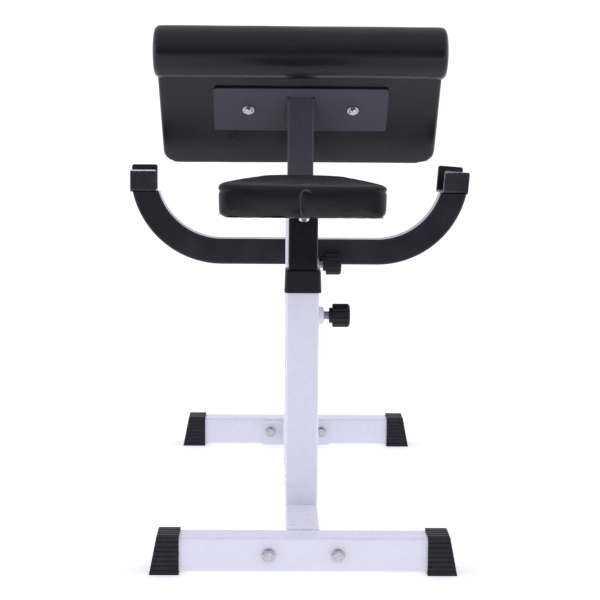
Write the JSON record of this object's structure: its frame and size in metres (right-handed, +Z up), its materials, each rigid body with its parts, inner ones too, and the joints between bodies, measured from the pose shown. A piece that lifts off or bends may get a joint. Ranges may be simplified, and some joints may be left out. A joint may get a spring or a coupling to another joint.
{
  "type": "preacher curl bench",
  "caption": "Preacher curl bench with a tapered seat and a sloping arm pad on sliding posts, a padded roll, barbell hooks on a U-shaped holder and a floor frame.",
  "frame": {"origin": "on the floor, midway between the two cross feet and on the plane of symmetry of the frame", "axes": "+Z up, +Y the way the user faces, +X to the user's right, where the locking knobs are"},
  "size_m": [0.5986, 0.9888, 0.804],
  "materials": {
    "white_powder_coat": "gloss",
    "black_powder_coat": "satin",
    "black_vinyl": "satin",
    "backing_cloth": "matte",
    "plywood": "matte",
    "black_plastic": "satin",
    "cap_rubber": "matte",
    "bright_zinc": "bright"
  },
  "bodies": {
    "frame": {"main_beam": "white_powder_coat", "rear_joint_plate": "white_powder_coat", "front_joint_plate": "white_powder_coat", "rear_foot_tube": "white_powder_coat", "front_foot_tube": "white_powder_coat", "rear_foot_cap_right": "cap_rubber", "rear_foot_cap_left": "cap_rubber", "front_foot_cap_right": "cap_rubber", "front_foot_cap_left": "cap_rubber", "rear_foot_bolts": "bright_zinc", "rear_foot_washers": "bright_zinc", "rear_foot_nuts": "bright_zinc", "front_foot_bolts": "bright_zinc", "front_foot_washers": "bright_zinc", "front_foot_nuts": "bright_zinc", "seat_upright": "white_powder_coat", "pad_upright": "white_powder_coat", "seat_weld_nut": "white_powder_coat", "pad_weld_nut": "white_powder_coat", "seat_collar": "black_plastic", "pad_collar": "black_plastic", "bar_holder": "black_powder_coat", "bar_hook_right": "black_powder_coat", "bar_hook_left": "black_powder_coat", "frame_welds": "white_powder_coat"},
    "seat": {"seat_post": "black_powder_coat", "seat_post_plug": "black_plastic", "seat_plate": "black_powder_coat", "seat_backing": "backing_cloth", "seat_board": "plywood", "seat_cushion": "black_vinyl", "seat_tee_nuts": "bright_zinc", "seat_washers": "bright_zinc", "seat_bolts": "bright_zinc", "seat_welds": "black_powder_coat"},
    "pad": {"pad_post": "black_powder_coat", "pad_post_plug": "black_plastic", "pad_plate": "black_powder_coat", "pad_backing": "backing_cloth", "pad_board": "plywood", "pad_cushion": "black_vinyl", "pad_roll": "black_vinyl", "pad_tee_nuts": "bright_zinc", "pad_washers": "bright_zinc", "pad_bolts": "bright_zinc", "pad_welds": "black_powder_coat"},
    "seat_lock_stud": {"seat_lock_stud": "bright_zinc"},
    "seat_lock_knob": {"seat_lock_knob": "black_plastic"},
    "pad_lock_stud": {"pad_lock_stud": "bright_zinc"},
    "pad_lock_knob": {"pad_lock_knob": "black_plastic"}
  },
  "joints": [
    {"name": "seat_height", "type": "slide", "parent": "frame", "child": "seat", "axis": [0, 0, 1], "range_m": [-0.06, 0.06]},
    {"name": "pad_height", "type": "slide", "parent": "frame", "child": "pad", "axis": [0, 0, 1], "range_m": [-0.06, 0.06]},
    {"name": "seat_lock_travel", "type": "slide", "parent": "frame", "child": "seat_lock_stud", "axis": [-1, 0, 0], "range_m": [0, 0.0075]},
    {"name": "seat_lock_turn", "type": "hinge", "parent": "seat_lock_stud", "child": "seat_lock_knob", "pos_m": [0.06, -0.253, 0.3475], "axis": [-1, 0, 0], "range_deg": [0, 1350]},
    {"name": "pad_lock_travel", "type": "slide", "parent": "frame", "child": "pad_lock_stud", "axis": [-1, 0, 0], "range_m": [0, 0.0075]},
    {"name": "pad_lock_turn", "type": "hinge", "parent": "pad_lock_stud", "child": "pad_lock_knob", "pos_m": [0.06, 0.11, 0.392], "axis": [-1, 0, 0], "range_deg": [0, 1350]}
  ],
  "couplings": [
    {"joint": "seat_lock_travel", "follows": "seat_lock_turn", "m_per_rad": 0.00031831},
    {"joint": "pad_lock_travel", "follows": "pad_lock_turn", "m_per_rad": 0.00031831}
  ]
}
